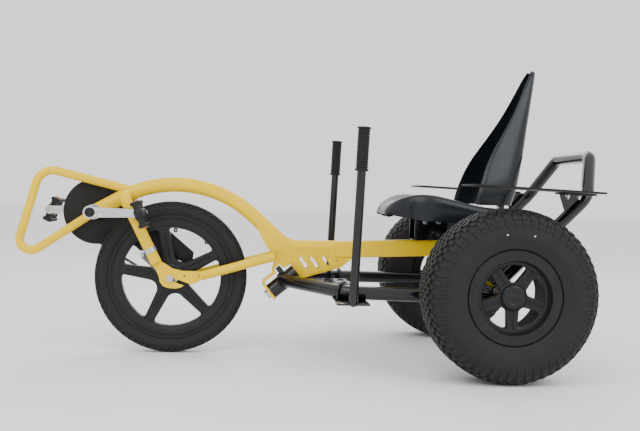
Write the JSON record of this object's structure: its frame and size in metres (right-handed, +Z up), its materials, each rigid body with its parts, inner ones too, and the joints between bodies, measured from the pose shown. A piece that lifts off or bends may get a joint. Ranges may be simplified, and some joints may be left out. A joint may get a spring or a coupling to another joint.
{
  "type": "pedal go kart",
  "caption": "Pedal go kart with a driven front wheel, bent tube frame, bucket seat, side steering levers, wide rear wheels and a roll bar.",
  "frame": {"origin": "on the ground under the centre of the overall box", "axes": "+X towards the rear of the kart, +Y towards the right of a seated rider, +Z up"},
  "size_m": [1.6934, 0.885, 0.876],
  "materials": {
    "frame_yellow": "gloss",
    "frame_black": "gloss",
    "seat_shell": "gloss",
    "guard_plastic": "satin",
    "wheel_plastic": "satin",
    "tyre": "matte",
    "grip_rubber": "matte",
    "zinc_steel": "satin",
    "crank_alloy": "satin",
    "chain_steel": "satin",
    "bearing_steel": "satin",
    "reflector": "gloss"
  },
  "bodies": {
    "front_frame": {"arch_tube": "frame_yellow", "bottom_bracket_shell": "frame_yellow", "seat_beam": "frame_yellow", "bumper_loop": "frame_yellow", "fork_legs": "frame_yellow", "dropouts": "frame_yellow", "lower_stays": "frame_yellow", "neck_plates": "frame_yellow", "pivot_plates": "frame_yellow", "pivot_bolt_and_nut": "zinc_steel", "bearing_cups": "zinc_steel", "chain_guard": "guard_plastic", "chain": "chain_steel", "front_axle": "zinc_steel", "front_cones": "zinc_steel", "front_axle_nuts": "zinc_steel", "brake_lever": "zinc_steel", "brake_clamp_set": "zinc_steel", "seat_pan": "seat_shell", "seat_back": "seat_shell", "pan_bracket": "frame_black", "back_bracket": "frame_black", "seat_bolts": "zinc_steel"},
    "crank": {"crank_spindle": "zinc_steel", "crank_arms": "crank_alloy", "chainring": "chain_steel", "pedal_spindles": "zinc_steel"},
    "pedal_left": {"pedal_body_left": "guard_plastic", "pedal_reflectors_left": "reflector"},
    "pedal_right": {"pedal_body_right": "guard_plastic", "pedal_reflectors_right": "reflector"},
    "front_wheel": {"front_tyre": "tyre", "front_rim": "wheel_plastic", "front_hub": "zinc_steel", "front_bearings": "bearing_steel", "front_sprocket": "chain_steel"},
    "rear_frame": {"pivot_sleeve": "frame_black", "pivot_bushes": "bearing_steel", "side_tubes": "frame_black", "web_plate": "frame_black", "axle_tube": "frame_black", "rear_axle": "zinc_steel", "rear_spacers": "zinc_steel", "rear_axle_nuts": "zinc_steel", "levers": "frame_black", "grips": "grip_rubber", "lever_brackets": "frame_black", "lever_ubolts_and_nuts": "zinc_steel", "roll_bar": "frame_black", "mudguards": "guard_plastic", "mudguard_tabs": "frame_black", "mudguard_bolts": "zinc_steel"},
    "rear_wheel_left": {"rear_tyre_left": "tyre", "rear_rim_left": "wheel_plastic", "rear_bearings_left": "bearing_steel", "hub_cap_left": "guard_plastic"},
    "rear_wheel_right": {"rear_tyre_right": "tyre", "rear_rim_right": "wheel_plastic", "rear_bearings_right": "bearing_steel", "hub_cap_right": "guard_plastic"}
  },
  "joints": [
    {"name": "front_wheel_spin", "type": "hinge", "parent": "front_frame", "child": "front_wheel", "pos_m": [-0.3915, 0, 0.224], "axis": [0, 1, 0], "continuous": true},
    {"name": "crank_spin", "type": "hinge", "parent": "front_frame", "child": "crank", "pos_m": [-0.6185, 0, 0.41201], "axis": [0, 1, 0], "continuous": true},
    {"name": "pedal_left_spin", "type": "hinge", "parent": "crank", "child": "pedal_left", "pos_m": [-0.4685, -0.1435, 0.41201], "axis": [0, 1, 0], "continuous": true},
    {"name": "pedal_right_spin", "type": "hinge", "parent": "crank", "child": "pedal_right", "pos_m": [-0.7685, 0.1435, 0.41201], "axis": [0, 1, 0], "continuous": true},
    {"name": "steer", "type": "hinge", "parent": "front_frame", "child": "rear_frame", "pos_m": [-0.05647, 0, 0.2155], "axis": [0.7716, 0, 0.6361], "range_deg": [-25, 25]},
    {"name": "rear_wheel_left_spin", "type": "hinge", "parent": "rear_frame", "child": "rear_wheel_left", "pos_m": [0.5215, -0.36, 0.23], "axis": [0, 1, 0], "continuous": true},
    {"name": "rear_wheel_right_spin", "type": "hinge", "parent": "rear_frame", "child": "rear_wheel_right", "pos_m": [0.5215, 0.36, 0.23], "axis": [0, 1, 0], "continuous": true}
  ],
  "couplings": [
    {"joint": "crank_spin", "follows": "front_wheel_spin", "ratio": 0.42105}
  ]
}
